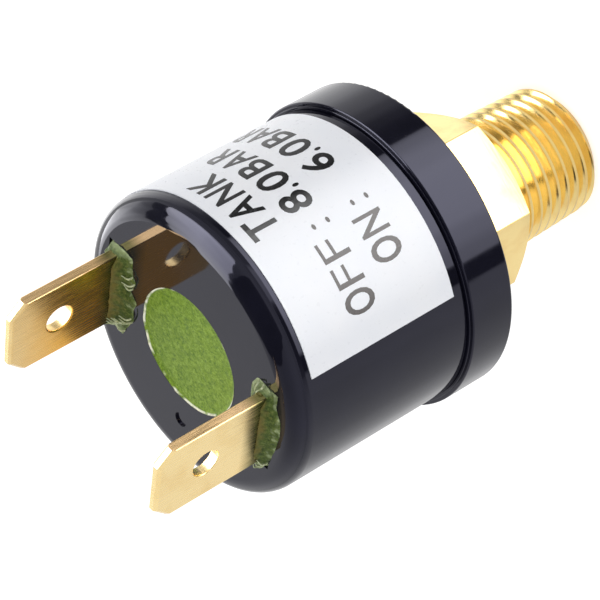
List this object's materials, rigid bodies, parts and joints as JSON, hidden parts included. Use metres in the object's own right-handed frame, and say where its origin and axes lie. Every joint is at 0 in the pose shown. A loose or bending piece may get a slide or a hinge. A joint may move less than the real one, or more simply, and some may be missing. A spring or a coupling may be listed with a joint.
{
  "type": "pressure switch",
  "caption": "Screw-in pneumatic pressure switch: brass taper pipe thread and hexagon, black round housing with a crimp ring and label, two blade terminals set in green epoxy.",
  "frame": {"origin": "centre of the port's end face, at the thread's small end", "axes": "+Z along the switch axis from the port towards the terminals; the two blades stand at +X and -X"},
  "size_m": [0.0226, 0.0226, 0.0426],
  "materials": {
    "fitting_brass": "machined",
    "black_ring": "gloss",
    "black_housing": "gloss",
    "seal_rubber": "matte",
    "film": "satin",
    "spring_steel": "satin",
    "inner_plastic": "satin",
    "blade_brass": "rolled",
    "silver": "satin",
    "steel": "satin",
    "green_epoxy": "gloss",
    "white_label": "satin",
    "ceramic": "satin"
  },
  "bodies": {
    "switch_body": {"port_fitting": "fitting_brass", "crimp_ring": "black_ring", "pressure_seal": "seal_rubber", "diaphragm": "film", "housing_gasket": "seal_rubber", "snap_disc": "spring_steel", "disc_seat": "inner_plastic", "contact_carrier": "inner_plastic", "terminal_a": "blade_brass", "terminal_b": "blade_brass", "fixed_contact_a": "silver", "fixed_contact_b": "silver", "contact_spring": "spring_steel", "spring_seat": "steel", "calibration_screw": "steel", "threaded_insert": "fitting_brass", "rear_housing": "black_housing", "epoxy_plug": "green_epoxy", "epoxy_collar_a": "green_epoxy", "epoxy_collar_b": "green_epoxy", "label": "white_label"},
    "pin": {"push_pin": "ceramic"},
    "bridge": {"contact_bridge": "blade_brass", "moving_contact_a": "silver", "moving_contact_b": "silver"}
  },
  "joints": [
    {"name": "pin_slide", "type": "slide", "parent": "switch_body", "child": "pin", "axis": [0, 0, 1], "range_m": [0, 0.0005], "stiffness_N_per_m": 2000, "deforming": ["diaphragm", "snap_disc"]},
    {"name": "bridge_slide", "type": "slide", "parent": "switch_body", "child": "bridge", "axis": [0, 0, 1], "range_m": [0, 0.0005], "stiffness_N_per_m": 1000, "springref_m": -0.0005, "deforming": ["contact_spring"]}
  ],
  "couplings": [
    {"joint": "bridge_slide", "follows": "pin_slide", "ratio": 1}
  ]
}
